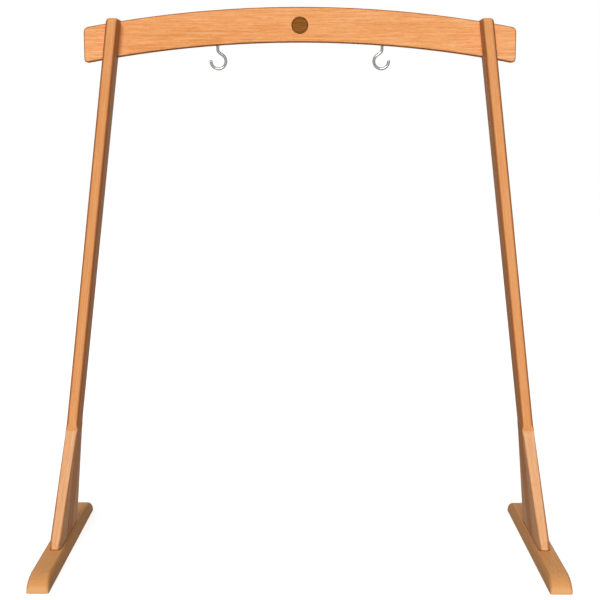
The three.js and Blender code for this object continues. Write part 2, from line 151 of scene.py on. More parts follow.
def end_tree(tree, geometry, material, output):
    """The last nodes of every tree."""
    real = add(tree, "GeometryNodeRealizeInstances", {"Geometry": geometry})
    last = add(tree, "GeometryNodeSetMaterial", {"Geometry": real, "Material": material})
    tree.links.new(last.outputs[0], output.inputs[0])


def new_piece(name, data=None):
    """An object at the origin, in the scene."""
    piece = bpy.data.objects.new(name, data or bpy.data.meshes.new(name))
    bpy.context.scene.collection.objects.link(piece)
    return piece


def shape_with(piece, tree, values):
    """Puts a tree on a piece, with its inputs set by their identifiers."""
    modifier = piece.modifiers.new(tree.name, "NODES")
    modifier.node_group = tree
    for item in tree.interface.items_tree:
        if item.in_out == "INPUT" and item.name in values:
            modifier[item.identifier] = values[item.name]


def round_over(piece, width, steps, weighted=False):
    """A router's round along the sharp edges, or along those that a tree has marked."""
    modifier = piece.modifiers.new("round", "BEVEL")
    modifier.width = width
    modifier.segments = steps
    modifier.limit_method = "WEIGHT" if weighted else "ANGLE"
    modifier.angle_limit = SOFT_ANGLE
    modifier.use_clamp_overlap = False


def plain_mesh(piece):
    """What a piece's modifiers make of it, as a mesh of its own."""
    bpy.context.view_layer.update()
    whole = piece.evaluated_get(bpy.context.evaluated_depsgraph_get())
    return bpy.data.meshes.new_from_object(whole)


def settle(piece, cutters=()):
    """Cuts a piece with others, which go, and gives it the finished mesh with clean shading."""
    for cutter in cutters:
        cut = piece.modifiers.new("cut", "BOOLEAN")
        cut.operation = "DIFFERENCE"
        cut.solver = "EXACT"
        cut.object = cutter
    mesh = plain_mesh(piece)
    mesh.name = piece.name
    piece.modifiers.clear()
    piece.data = mesh
    for cutter in cutters:
        bpy.data.objects.remove(cutter)
    mesh.shade_smooth()
    mesh.set_sharp_from_angle(angle=SOFT_ANGLE)
    normals = piece.modifiers.new("normals", "WEIGHTED_NORMAL")
    normals.keep_sharp = True


def beam_tree():
    """An upright board along X, bent between two arcs of a circle, with its end corners marked."""
    tree, given, output = new_tree("arched board", [
        ("Half Length", "Float"), ("Thickness", "Float"), ("Height", "Float"),
        ("Depth", "Float"), ("Top", "Float"), ("Top Radius", "Float"),
        ("Bottom Radius", "Float"), ("Steps", "Int"), ("Material", "Material"),
    ])
    length = times(tree, given["Half Length"], 2.0)
    block = add(tree, "GeometryNodeMeshCube", {
        "Size": vector(tree, length, given["Thickness"], 1.0), "Vertices X": given["Steps"],
    })
    at = point_parts(tree)
    along = times(tree, at["X"], at["X"])
    bottom = minus(tree, given["Top"], given["Height"])
    levels = []
    for radius, crown in [(given["Top Radius"], given["Top"]), (given["Bottom Radius"], bottom)]:
        squared = times(tree, radius, radius)
        rise = reckon(tree, "SQRT", minus(tree, squared, along))
        fall = minus(tree, radius, rise)
        levels.append(minus(tree, crown, fall))
    depth = plus(tree, at["Y"], given["Depth"])
    height = evenly(tree, at["Z"], -0.5, 0.5, levels[1], levels[0])
    moved = add(tree, "GeometryNodeSetPosition", {
        "Geometry": block, "Position": vector(tree, at["X"], depth, height),
    })

    ends = add(tree, "GeometryNodeInputMeshEdgeVertices").outputs
    step = reckon_vector(tree, "SUBTRACT", ends["Position 1"], ends["Position 2"])["Vector"]
    width = reckon(tree, "ABSOLUTE", parts(tree, step)["Y"])
    enough = times(tree, given["Thickness"], 0.5)
    crossing = reckon(tree, "GREATER_THAN", width, enough)
    reach = reckon(tree, "ABSOLUTE", at["X"])
    last = times(tree, given["Half Length"], BEAM_END_SHARE)
    at_end = reckon(tree, "GREATER_THAN", reach, last)
    marked = add(tree, "GeometryNodeStoreNamedAttribute", {
        "Geometry": moved, "Name": "bevel_weight_edge",
        "Value": times(tree, crossing, at_end),
    }, data_type="FLOAT", domain="EDGE")
    end_tree(tree, marked, given["Material"], output)
    return tree


def beam_blank(name, tree, grow=0.0, edge=BEAM_EDGE, material=None):
    """The beam before it is bored, or a larger one for its notch."""
    piece = new_piece(name)
    shape_with(piece, tree, {
        "Half Length": BEAM_HALF + grow, "Thickness": BEAM_THICKNESS + 2 * grow,
        "Height": BEAM_HEIGHT + 2 * grow, "Depth": BEAM_MIDDLE, "Top": BEAM_TOP + grow,
        "Top Radius": BEAM_TOP_RADIUS + grow, "Bottom Radius": BEAM_BOTTOM_RADIUS - grow,
        "Steps": BEAM_STEPS, "Material": material,
    })
    round_over(piece, BEAM_CORNER + grow, CORNER_STEPS, weighted=True)
    if edge:
        round_over(piece, edge, EDGE_STEPS)
    return piece


def srgb(red, green, blue):
    """A colour on the usual scale to 255, as the shader wants it."""
    shares = [share / 255 for share in (red, green, blue)]
    linear = [share / 12.92 if share < 0.0405 else ((share + 0.055) / 1.055) ** 2.4 for share in shares]
    return (*linear, 1.0)


# The waves of the grain are counted per metre, along it and across it. The spans are the values
# of a pattern, or of a face's direction, between which a change of tone comes in.
SWAY_WAVES = (7.0, 24.0)
WANDER_WAVES = (1.6, 9.0)
BROAD_WAVES = (1.2, 14.0)
STREAK_WAVES = (16.0, 620.0)
FIBRE_WAVES = (60.0, 1300.0)
FLECK_WAVES = (105.0, 520.0)
GRAIN_SWAY = 0.002
RING_WANDER = 0.004
RING_STEP = 0.0034
LATE_START_SHARE = 0.35
LATE_FULL_SHARE = 0.93
LATE_END_SHARE = 0.94
LATE_STRENGTHS = (0.4, 1.0)
NOISE_SPAN = (0.3, 0.7)
BROAD_TONES = (0.42, 0.58)
STREAK_WEIGHT = 0.44
YEAR_WEIGHT = 0.14
LATE_WEIGHT = 0.16
FIBRE_WEIGHT = 0.30
FADE_FROM = 0.26
FADE_TO = 0.45
FLECK_SPAN = (0.12, 0.28)
FLECK_SHADE = 0.35
FLECK_TINT = srgb(172, 122, 84)
# Painted shade darkens the rounded edges, where it also stands for wear, and the narrow or broad sides,
# all in one tint.
EDGE_WEAR_AND_SHADE = 0.62
EDGE_SPAN = (0.04, 0.24)
SIDE_SPAN = (0.2, 0.8)
SHADE_AND_WEAR_TINT = srgb(150, 110, 78)
# A thin band of painted shadow along a joint, in its own tint.
JOINT_SHADOW_BAND = 0.003
JOINT_SHADOW_STRENGTH = 0.95
JOINT_SHADOW_TINT = srgb(126, 82, 50)
END_SPAN = (0.72, 0.97)
END_PALENESS = 0.3
GROOVE_SHARE = 0.3
RELIEF_DEPTH = 0.0002
RELIEF_STRENGTH = 0.25
ROUGH_SPAN = (0.2, 0.8)
ROUGHNESSES = (0.50, 0.66)
OIL_GLOSS = 0.03


def new_finish(name):
    """A new material, with its nodes and its shader."""
    material = bpy.data.materials.new(name)
    material.use_nodes = True
    return material, material.node_tree, material.node_tree.nodes["Principled BSDF"]


def blended(tree, colour, other, share, way="MULTIPLY"):
    """A colour multiplied by another, or mixed with it, by a share that varies."""
    made = add(tree, "ShaderNodeMix", {0: share, 6: colour, 7: other}, data_type="RGBA", blend_type=way)
    return made.outputs[2]


def drawn_out(tree, place, waves):
    """A place scaled to waves along the grain and across it."""
    along, across = waves
    return reckon_vector(tree, "MULTIPLY", place, (along, across, across))["Vector"]


def noise(tree, place, scale, detail):
    """A cloudy pattern of values about a half."""
    return add(tree, "ShaderNodeTexNoise", {
        "Vector": place, "Scale": scale, "Detail": detail,
    }).outputs["Fac"]


def grain_noise(tree, place, waves, detail):
    """Noise drawn out along the grain."""
    return noise(tree, drawn_out(tree, place, waves), 1.0, detail)


def dress(tree, shader, colour, roughness, relief):
    """Joins a colour, a roughness and a relief, as its height, depth and strength, to a shader."""
    height, depth, strength = relief
    bump = add(tree, "ShaderNodeBump", {"Strength": strength, "Distance": depth, "Height": height})
    tree.links.new(colour, shader.inputs["Base Color"])
    tree.links.new(roughness, shader.inputs["Roughness"])
    tree.links.new(bump.outputs[0], shader.inputs["Normal"])


def in_the_log(tree, place, along, across, pith):
    """A place as it was in the log, with X along the grain and the pith on the X axis."""
    turn = Matrix((along, across, along.cross(across))).transposed().to_euler("XYZ")
    return add(tree, "ShaderNodeMapping", {
        "Vector": place, "Location": pith, "Rotation": turn,
    }, vector_type="TEXTURE").outputs[0]


def annual_rings(tree, timber):
    """How dark a place is with its ring's late wood, and a chance value for each ring."""
    at = parts(tree, timber)
    uneven = grain_noise(tree, timber, WANDER_WAVES, 1.0)
    wander = evenly(tree, uneven, 0, 1, -RING_WANDER, RING_WANDER)
    squares = [times(tree, at[axis], at[axis]) for axis in "YZ"]
    radius = reckon(tree, "SQRT", plus(tree, *squares))
    count = over(tree, plus(tree, radius, wander), RING_STEP)
    share = reckon(tree, "FRACT", count)
    growing = between(tree, share, LATE_START_SHARE, LATE_FULL_SHARE)
    ending = between(tree, share, LATE_END_SHARE, 1.0, 1.0, 0.0)
    late = times(tree, growing, ending)
    number = reckon(tree, "FLOOR", count)
    year = add(tree, "ShaderNodeTexWhiteNoise", {"W": number}, noise_dimensions="1D")
    return late, year.outputs["Value"]


def grain(tree, timber, figure, fade):
    """The wood's tone, from 0 for dark to 1, and the wavy place, fibre and late wood behind it."""
    uneven = grain_noise(tree, timber, SWAY_WAVES, 1.0)
    sway = evenly(tree, uneven, 0, 1, -GRAIN_SWAY, GRAIN_SWAY)
    wavy = reckon_vector(tree, "ADD", timber, vector(tree, 0.0, sway, sway))["Vector"]
    late, year = annual_rings(tree, timber)
    broad = grain_noise(tree, timber, BROAD_WAVES, 2.0)
    streak = grain_noise(tree, wavy, STREAK_WAVES, 2.0)
    fibre = grain_noise(tree, wavy, FIBRE_WAVES, 2.0)
    tone = evenly(tree, broad, *NOISE_SPAN, *BROAD_TONES)
    if fade:
        reach = reckon(tree, "ABSOLUTE", parts(tree, timber)["X"])
        tone = plus(tree, tone, between(tree, reach, FADE_FROM, FADE_TO, 0.0, fade))
    darkness = times(tree, late, evenly(tree, year, 0, 1, *LATE_STRENGTHS))
    for part, weight in [
        (evenly(tree, streak, *NOISE_SPAN, -0.5, 0.5), STREAK_WEIGHT),
        (evenly(tree, year, 0, 1, -0.5, 0.5), YEAR_WEIGHT),
        (darkness, -LATE_WEIGHT),
        (evenly(tree, fibre, *NOISE_SPAN, -0.5, 0.5), FIBRE_WEIGHT),
    ]:
        tone = plus(tree, tone, times(tree, part, weight * figure))
    return tone, wavy, fibre, late


def beech(name, colours, along, across, pith, figure=1.0, edge_wear_and_shade=EDGE_WEAR_AND_SHADE,
          narrow_side_painted_shade=0.0, broad_side_painted_shade=0.0, fade=0.0, joint=None):
    """Oiled beech, from a dark, a middle and a light colour.

    Its grain runs along one direction, its broad sides face across, and its rings lie round
    the pith. Figure is the grain's strength. The shades say how much painted shade darkens the
    rounded edges, where it also stands for wear, the narrow sides and the broad sides, and fade
    how much paler a long board's ends are. Joint is the height of a thin painted shadow along a joint.
    """
    material, tree, shader = new_finish(name)
    along = Vector(along).normalized()
    across = Vector(across).normalized()
    source = add(tree, "ShaderNodeTexCoord").outputs
    timber = in_the_log(tree, source["Object"], along, across, pith)
    tone, wavy, fibre, late = grain(tree, timber, figure, fade)
    ramp = add(tree, "ShaderNodeValToRGB", {"Fac": tone})
    ramp.color_ramp.elements[0].color = colours[0]
    ramp.color_ramp.elements[1].color = colours[2]
    ramp.color_ramp.elements.new(0.5).color = colours[1]

    cells = drawn_out(tree, wavy, FLECK_WAVES)
    fleck = add(tree, "ShaderNodeTexVoronoi", {"Vector": cells, "Scale": 1.0}).outputs["Distance"]
    dash = between(tree, fleck, *FLECK_SPAN, FLECK_SHADE * figure, 0.0)
    colour = blended(tree, ramp, FLECK_TINT, dash)

    # Painted shade with some wear: the rounded edges darken most where they turn halfway between a broad
    # side and a narrow one.
    facing = reckon_vector(tree, "DOT_PRODUCT", source["Normal"], across)["Value"]
    flat = reckon(tree, "POWER", facing, 2.0)
    edge = times(tree, flat, minus(tree, 1.0, flat))
    colour = blended(tree, colour, SHADE_AND_WEAR_TINT, between(tree, edge, *EDGE_SPAN, 0.0, edge_wear_and_shade))
    # Painted shade: the narrow sides or the broad sides darken, as faces turned away from the light.
    side = between(tree, flat, *SIDE_SPAN, narrow_side_painted_shade, broad_side_painted_shade)
    colour = blended(tree, colour, SHADE_AND_WEAR_TINT, side)
    # Painted shadow: a thin dark band just above the joint's height.
    if joint:
        height = parts(tree, source["Object"])["Z"]
        near = between(tree, height, joint, joint + JOINT_SHADOW_BAND, JOINT_SHADOW_STRENGTH, 0.0)
        colour = blended(tree, colour, JOINT_SHADOW_TINT, near)
    ending = reckon_vector(tree, "DOT_PRODUCT", source["Normal"], along)["Value"]
    end_grain = between(tree, reckon(tree, "ABSOLUTE", ending), *END_SPAN)
    paleness = times(tree, end_grain, END_PALENESS)
    colour = blended(tree, colour, colours[2], paleness, way="MIX")

    height = minus(tree, fibre, times(tree, late, GROOVE_SHARE))
    dress(tree, shader, colour, evenly(tree, fibre, *ROUGH_SPAN, *ROUGHNESSES),
          (height, RELIEF_DEPTH, RELIEF_STRENGTH))
    shader.inputs["Specular IOR Level"].default_value = OIL_GLOSS
    return material


HONEY = (srgb(206, 124, 58), srgb(237, 162, 100), srgb(250, 198, 150))
BEAM_PITH = (0.0, 0.09, 1.47)
beam_wood = beech("beam beech", HONEY, (1, 0, 0), (0, 1, 0), BEAM_PITH, narrow_side_painted_shade=0.5, fade=0.16)

CLEARANCE = 0.0003
OVERRUN = 0.005
DRILL_SPARE = 0.002
HOLE_SIDES = 48


def circle(radius, z, sides):
    """The points of a level circle about the Z axis."""
    angles = [math.tau * i / sides for i in range(sides)]
    return [Vector((radius * math.cos(angle), radius * math.sin(angle), z)) for angle in angles]


def band(low, high, count):
    """The faces between two rings of points, from the number of each ring's first point."""
    neighbours = [(i, (i + 1) % count) for i in range(count)]
    return [(low + i, low + after, high + after, high + i) for i, after in neighbours]


def drilled(name, radius, place, low, high, sides=HOLE_SIDES):
    """A plain round cutter from low to high along a place's Z axis."""
    points = [place @ point for z in (low, high) for point in circle(radius, z, sides)]
    caps = [tuple(reversed(range(sides))), tuple(range(sides, 2 * sides))]
    cutter = new_piece(name)
    cutter.data.from_pydata(points, [], band(0, sides, sides) + caps)
    return cutter


def sagitta(radius, along):
    """How far an arc has fallen at a distance from its crown."""
    return radius - math.sqrt(radius ** 2 - along ** 2)


def under_beam(x):
    """The height of the beam's underside."""
    return BEAM_TOP - BEAM_HEIGHT - sagitta(BEAM_BOTTOM_RADIUS, x)


POST_LEAN = math.radians(7.1)
POST_THICKNESS = 0.026
LEAN_SLOPE = math.tan(POST_LEAN)
POST_HALF = POST_THICKNESS / math.cos(POST_LEAN) / 2
SIDES = {"left": -1, "right": 1}
LEVELS = {"lower": -1, "upper": 1}
BEAM_BOLT_DIAMETER = 0.006
BEAM_BOLT_MARGIN = 0.018
BOLT_HOLE_CLEARANCE = 0.0005
post_low, post_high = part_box("right_post")


def post_x(side, z):
    """The X of a post's middle line at a height."""
    return side * (post_high.x - POST_HALF - LEAN_SLOPE * (z - post_low.z))


bolts_x = post_x(1, BEAM_TOP - BEAM_HEIGHT / 2)
bolts_z = (BEAM_TOP - sagitta(BEAM_TOP_RADIUS, bolts_x) + under_beam(bolts_x)) / 2
bolts_rise = BEAM_HEIGHT / 2 - BEAM_BOLT_MARGIN


def facing_front(x, y, z):
    """A place whose Z axis points to the front."""
    return Matrix.Translation((x, y, z)) @ Matrix.Rotation(math.pi / 2, 4, "X")


def beam_bolt_place(side, level, y):
    """The place of a beam bolt's axis at a depth; side and level are each -1 or 1."""
    z = bolts_z + level * bolts_rise
    return facing_front(post_x(side, z), y, z)


INLAY_DIAMETER = 0.035
INLAY_THICKNESS = 0.004
INLAY_SIDES = 96
HOOK_WIRE = 0.006
HOOK_SCREW = 0.038
HOOK_POINT = 0.006
inlay_low, inlay_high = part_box("beam_inlay")
inlay_radius = INLAY_DIAMETER / 2
inlay_place = facing_front(0, beam_low.y, (inlay_low.z + inlay_high.z) / 2)
hook_x = {joint["child"]: joint["pos_m"][0] for joint in frame["record"]["behaviour"]["joints"]}

arch = beam_tree()
crossbeam = beam_blank("crossbeam_board", arch, material=beam_wood)
cutters = [drilled("recess", inlay_radius + CLEARANCE, inlay_place,
                   -INLAY_THICKNESS - CLEARANCE, OVERRUN, INLAY_SIDES)]
for x in hook_x.values():
    pilot = Matrix.Translation((x, BEAM_MIDDLE, under_beam(x)))
    cutters.append(drilled("pilot", HOOK_WIRE / 2 + CLEARANCE, pilot,
                           -OVERRUN, HOOK_SCREW + HOOK_POINT + DRILL_SPARE))
for side in SIDES.values():
    for level in LEVELS.values():
        cutters.append(drilled("bolt hole", BEAM_BOLT_DIAMETER / 2 + BOLT_HOLE_CLEARANCE,
                               beam_bolt_place(side, level, beam_high.y),
                               -OVERRUN, BEAM_THICKNESS + OVERRUN))
settle(crossbeam, cutters)
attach(crossbeam, "frame")
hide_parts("crossbeam")

# Inlay
# A round disc of dark stained wood, turned with a raised rim and a shallow dished face,
# and glued into its recess in the middle of the beam's front.

INLAY_RIM = 0.0022
INLAY_PROUD = 0.0008
INLAY_DISH = 0.0006
RIM_STEPS = 6


def quarter_round(steps):
    """The angles of a quarter round, in even steps from 0."""
    return [math.pi / 2 * i / steps for i in range(steps + 1)]


def turned(name, profile, place, sides):
    """A closed turned body about a place's Z axis, from (radius, z) pairs that start and end on it."""
    points = [Vector((0, 0, profile[0][1]))]
    for radius, z in profile[1:-1]:
        points.extend(circle(radius, z, sides))
    points.append(Vector((0, 0, profile[-1][1])))
    last = len(points) - 1
    top = last - sides
    faces = []
    for i in range(sides):
        after = (i + 1) % sides
        faces.append((0, 1 + after, 1 + i))
        faces.append((last, top + i, top + after))
    for low in range(1, top, sides):
        faces += band(low, low + sides, sides)
    piece = new_piece(name)
    piece.data.from_pydata([place @ point for point in points], [], faces)
    return piece


STAINED = (srgb(108, 58, 16), srgb(142, 90, 38), srgb(166, 112, 58))
INLAY_PITH = (0.0, 0.1, 1.30)
rim_round = INLAY_RIM / 2
dish_z = INLAY_PROUD - INLAY_DISH
inlay = turned("beam_inlay_disc", [
    (0, -INLAY_THICKNESS),
    (inlay_radius, -INLAY_THICKNESS),
    (inlay_radius, 0),
    *[(inlay_radius - rim_round * (1 - math.cos(angle)), INLAY_PROUD * math.sin(angle))
      for angle in quarter_round(RIM_STEPS)[1:]],
    (inlay_radius - INLAY_RIM + INLAY_DISH, INLAY_PROUD),
    (inlay_radius - INLAY_RIM, dish_z),
    (0, dish_z),
], inlay_place, INLAY_SIDES)
inlay.data.materials.append(beech("inlay wood", STAINED, (1, 0, 0), (0, 1, 0), INLAY_PITH, edge_wear_and_shade=1.0))
settle(inlay)
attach(inlay, "frame")
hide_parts("beam_inlay")

# Hooks
# Two screw hooks, each bent from one round steel wire and zinc plated, with a cut thread and
# a point. They are screwed into the beam's underside, and their mouths face outwards.

HOOK_BOWL = 0.0157
HOOK_DROP = 0.0485
HOOK_OFFSET = 0.0013
HOOK_BEND = 0.008
HOOK_NECK = math.radians(125)
HOOK_TIP = math.radians(9)
BEND_STEPS = 16
BOWL_STEPS = 64
WIRE_SIDES = 20
WIRE_STEP = 0.0004
THREAD_PITCH = 0.0025
THREAD_DEPTH = 0.0009
THREAD_SPAN = (0.06, 0.34)
THREAD_START = 0.003
THREAD_FULL = 0.006
BLUNT_SHARE = 0.02
EDGE_TINT = (0.04, 0.04, 0.04, 1.0)
MOTTLE_SHADE = 0.82
SCRATCH_FINENESS = 9
SCRATCH_DEPTH = 0.00005
ROUGH_SHARES = (0.8, 1.3)


def hook_points():
    """The wire's middle line in the XZ plane, from its point down to the tip of the bowl."""
    bowl = Vector((-HOOK_OFFSET, HOOK_BOWL - HOOK_DROP))
    neck = bowl + HOOK_BOWL * Vector((math.cos(HOOK_NECK), math.sin(HOOK_NECK)))
    turn = math.pi - HOOK_NECK
    elbow = neck.y - neck.x / math.tan(turn)
    bend_z = elbow + HOOK_BEND * math.tan(turn / 2)
    points = [(0, HOOK_SCREW + HOOK_POINT), (0, bend_z)]
    for i in range(1, BEND_STEPS + 1):
        angle = -turn * i / BEND_STEPS
        points.append((HOOK_BEND * (math.cos(angle) - 1), bend_z + HOOK_BEND * math.sin(angle)))
    end = math.tau + HOOK_TIP
    for i in range(BOWL_STEPS + 1):
        angle = HOOK_NECK + (end - HOOK_NECK) * i / BOWL_STEPS
        points.append((bowl.x + HOOK_BOWL * math.cos(angle), bowl.y + HOOK_BOWL * math.sin(angle)))
    return points


def turns_round(tree, at):
    """How far a place lies round the Z axis, in turns."""
    return over(tree, reckon(tree, "ARCTAN2", at["Y"], at["X"]), math.tau)


def thread_wave(tree, at, pitch):
    """How far a place is from the nearest turn of a screw thread, in pitches."""
    turns = minus(tree, over(tree, at["Z"], pitch), turns_round(tree, at))
    return reckon(tree, "PINGPONG", turns, 0.5)


def off_axis(tree, at):
    """A place's distance from the Z axis."""
    return reckon_vector(tree, "LENGTH", vector(tree, at["X"], at["Y"]))["Value"]


def drawn_in(tree, at, factor):
    """A place moved towards the Z axis by a factor."""
    x = times(tree, at["X"], factor)
    y = times(tree, at["Y"], factor)
    return vector(tree, x, y, at["Z"])


def wire_tree():
    """Round wire along a line, with a domed tip and a thread and a point above the height 0."""
    tree, given, output = new_tree("threaded wire", [
        ("Geometry", "Geometry"), ("Wire", "Float"), ("Step", "Float"), ("Sides", "Int"),
        ("Screw", "Float"), ("Point", "Float"), ("Pitch", "Float"), ("Depth", "Float"),
        ("Material", "Material"),
    ])
    line = add(tree, "GeometryNodeResampleCurve", {
        "Curve": given["Geometry"], "Length": given["Step"],
    }, mode="LENGTH")
    radius = times(tree, given["Wire"], 0.5)
    run = add(tree, "GeometryNodeSplineParameter").outputs["Length"]
    left = minus(tree, add(tree, "GeometryNodeSplineLength"), run)
    near = reckon(tree, "MINIMUM", over(tree, left, radius), 1.0)
    missing = minus(tree, 1.0, near)
    squared = minus(tree, 1.0, times(tree, missing, missing))
    dome = reckon(tree, "SQRT", reckon(tree, "MAXIMUM", squared, BLUNT_SHARE ** 2))
    sized = add(tree, "GeometryNodeSetCurveRadius", {
        "Curve": line, "Radius": times(tree, radius, dome),
    })
    section = add(tree, "GeometryNodeCurvePrimitiveCircle", {"Resolution": given["Sides"], "Radius": 1.0})
    wire = add(tree, "GeometryNodeCurveToMesh", {
        "Curve": sized, "Profile Curve": section, "Fill Caps": True,
        "Scale": add(tree, "GeometryNodeInputRadius"),
    })

    at = point_parts(tree)
    wave = thread_wave(tree, at, given["Pitch"])
    groove = times(tree, between(tree, wave, *THREAD_SPAN, 1.0, 0.0), given["Depth"])
    start = between(tree, at["Z"], THREAD_START, THREAD_FULL)
    threaded = minus(tree, radius, times(tree, groove, start))
    above = minus(tree, at["Z"], given["Screw"])
    taper = minus(tree, 1.0, over(tree, above, given["Point"]))
    limited = reckon(tree, "MAXIMUM", reckon(tree, "MINIMUM", taper, 1.0), BLUNT_SHARE)
    wanted = times(tree, threaded, limited)
    factor = over(tree, wanted, off_axis(tree, at))
    screw = add(tree, "GeometryNodeSetPosition", {
        "Geometry": wire, "Selection": reckon(tree, "GREATER_THAN", at["Z"], 0.0),
        "Position": drawn_in(tree, at, factor),
    })
    end_tree(tree, screw, given["Material"], output)
    return tree


def metal(name, colour, rough, waves, scratch):
    """Plated or turned metal with a faint mottle, in waves per metre, and fine scratches."""
    material, tree, shader = new_finish(name)
    source = add(tree, "ShaderNodeTexCoord").outputs["Object"]
    fine = noise(tree, source, waves * SCRATCH_FINENESS, 2.0)
    darker = (*[part * MOTTLE_SHADE for part in colour[:3]], 1.0)
    ramp = add(tree, "ShaderNodeValToRGB", {"Fac": noise(tree, source, waves, 3.0)})
    for element, position, tone in zip(ramp.color_ramp.elements, NOISE_SPAN, (darker, colour)):
        element.position = position
        element.color = tone
    roughness = evenly(tree, fine, *NOISE_SPAN, *[rough * share for share in ROUGH_SHARES])
    dress(tree, shader, ramp.outputs[0], roughness, (fine, SCRATCH_DEPTH, scratch))
    shader.inputs["Metallic"].default_value = 1.0
    shader.inputs["Specular Tint"].default_value = EDGE_TINT
    return material


bright_wire = metal("plated wire", srgb(156, 156, 154), rough=0.2, waves=260.0, scratch=0.03)
wire_shape = wire_tree()
for node, x in hook_x.items():
    line = bpy.data.curves.new(f"{node}_line", "CURVE")
    line.dimensions = "3D"
    path = line.splines.new("POLY")
    path.points.add(len(hook_points()) - 1)
    for point, (along, z) in zip(path.points, hook_points()):
        point.co = (along, 0, z, 1)
    bent = new_piece(f"{node}_wire", line)
    shape_with(bent, wire_shape, {
        "Wire": HOOK_WIRE, "Step": WIRE_STEP, "Sides": WIRE_SIDES, "Screw": HOOK_SCREW,
        "Point": HOOK_POINT, "Pitch": THREAD_PITCH, "Depth": THREAD_DEPTH, "Material": bright_wire,
    })
    hook = new_piece(f"{node}_bent_wire", plain_mesh(bent))
    bpy.data.objects.remove(bent)
    outwards = Matrix.Rotation(math.pi if x < 0 else 0.0, 4, "Z")
    hook.data.transform(Matrix.Translation((x, BEAM_MIDDLE, under_beam(x))) @ outwards)
    settle(hook)
    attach(hook, node)
    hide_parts(node)

# Posts
# Each post is one straight board of beech that leans inwards, with its edges rounded over and
# its top rounded more. A notch in its back takes the beam, and its foot end stands in a housing.

POST_EDGE = 0.0075
POST_TOP_EDGE = 0.008
GLUE_EDGE = 0.0004
EDGE_RUNOUT = 0.014
FOOT_BOLT_MARGIN = 0.0135
FOOT_INSERT_DIAMETER = 0.012
FOOT_INSERT_LENGTH = 0.022
FOOT_INSERT_SINK = 0.0012
BEAM_INSERT_DIAMETER = 0.009
BEAM_INSERT_LENGTH = 0.015
BEAM_INSERT_SINK = 0.0004
ENDS = {"front": -1, "rear": 1}
gusset_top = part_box("right_front_gusset")[1].z
notch_floor = beam_low.y - CLEARANCE
foot_insert_end = FOOT_INSERT_SINK + FOOT_INSERT_LENGTH
beam_insert_end = BEAM_INSERT_SINK + BEAM_INSERT_LENGTH


def board_section(middle, half, front, rear, z, front_radius, rear_radius):
    """A level rectangle with one radius at its front corners and one at its rear corners."""
    corners = [
        (-half + front_radius, front + front_radius, front_radius, 2),
        (half - front_radius, front + front_radius, front_radius, 3),
        (half - rear_radius, rear - rear_radius, rear_radius, 0),
        (-half + rear_radius, rear - rear_radius, rear_radius, 1),
    ]
    points = []
    for x, y, radius, quarters in corners:
        for i in range(CORNER_STEPS + 1):
            angle = (quarters + i / CORNER_STEPS) * math.pi / 2
            points.append(Vector((middle + x + radius * math.cos(angle), y + radius * math.sin(angle), z)))
    return points


def loft(name, rings):
    """A closed body through rings with as many points each."""
    count = len(rings[0])
    last = (len(rings) - 1) * count
    faces = [tuple(reversed(range(count))), tuple(range(last, last + count))]
    for low in range(0, last, count):
        faces += band(low, low + count, count)
    piece = new_piece(name)
    piece.data.from_pydata([point for ring in rings for point in ring], [], faces)
    return piece


def post_blank(name, side, base, grow=0.0):
    """A post before it is notched, or a larger one for its housing."""
    deep = post_high.y + grow
    stations = [
        (base, 0.0, GLUE_EDGE),
        (gusset_top, 0.0, GLUE_EDGE),
        (gusset_top + EDGE_RUNOUT, 0.0, POST_EDGE),
    ]
    for angle in quarter_round(CORNER_STEPS):
        inset = POST_TOP_EDGE * (1 - math.cos(angle))
        drop = POST_TOP_EDGE * (1 - math.sin(angle))
        stations.append((post_high.z - drop, inset, max(POST_EDGE - inset, GLUE_EDGE)))
    rings = []
    for z, inset, radius in stations:
        half = POST_HALF + grow - inset
        rings.append(board_section(post_x(side, z), half, inset - deep, deep - inset, z, radius, radius))
    return loft(name, rings)


def foot_bolt_place(side, end):
    """The place of a foot bolt's axis at the post's lower end, leaning with the post."""
    y = end * (post_high.y - FOOT_BOLT_MARGIN)
    place = Matrix.Translation((post_x(side, post_low.z), y, post_low.z))
    return place @ Matrix.Rotation(-side * POST_LEAN, 4, "Y")


def post_flank(side):
    """The direction that a leaning post's broad side faces."""
    return (math.cos(POST_LEAN), 0, side * math.sin(POST_LEAN))


AMBER = (srgb(192, 116, 58), srgb(225, 155, 98), srgb(242, 182, 128))
POST_PITH_X = 0.74
POST_PITH_Y = 0.31
for name, side in SIDES.items():
    post = post_blank(f"{name}_post_board", side, post_low.z)
    lean = (-side * math.sin(POST_LEAN), 0, math.cos(POST_LEAN))
    pith = (side * POST_PITH_X, side * POST_PITH_Y, 0.0)
    post.data.materials.append(beech(f"{name} post beech", AMBER, lean, post_flank(side), pith,
                                     figure=0.6, broad_side_painted_shade=0.3))
    cutters = [beam_blank("notch", arch, grow=CLEARANCE, edge=0.0)]
    for end in ENDS.values():
        cutters.append(drilled("insert hole", FOOT_INSERT_DIAMETER / 2 + CLEARANCE,
                               foot_bolt_place(side, end),
                               -OVERRUN, foot_insert_end + DRILL_SPARE))
    for level in LEVELS.values():
        cutters.append(drilled("insert hole", BEAM_INSERT_DIAMETER / 2 + CLEARANCE,
                               beam_bolt_place(side, level, notch_floor),
                               -OVERRUN, beam_insert_end + DRILL_SPARE))
    settle(post, cutters)
    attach(post, "frame")
    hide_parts(f"{name}_post")

# Gussets
# Four tapered blocks of paler beech, glued to the front and the back of the posts to widen
# their stance. Each runs down to a short upright heel with rounder corners.

GUSSET_SETBACK = 0.0005
GUSSET_TIP = 0.0012
GUSSET_EDGE = 0.0075
HEEL_HEIGHT = 0.012
HEEL_EDGE = 0.0095
HEEL_RUNOUT = 0.012
foot_low, foot_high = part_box("right_foot")
gusset_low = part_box("right_front_gusset")[0]
heel_top = foot_high.z + HEEL_HEIGHT


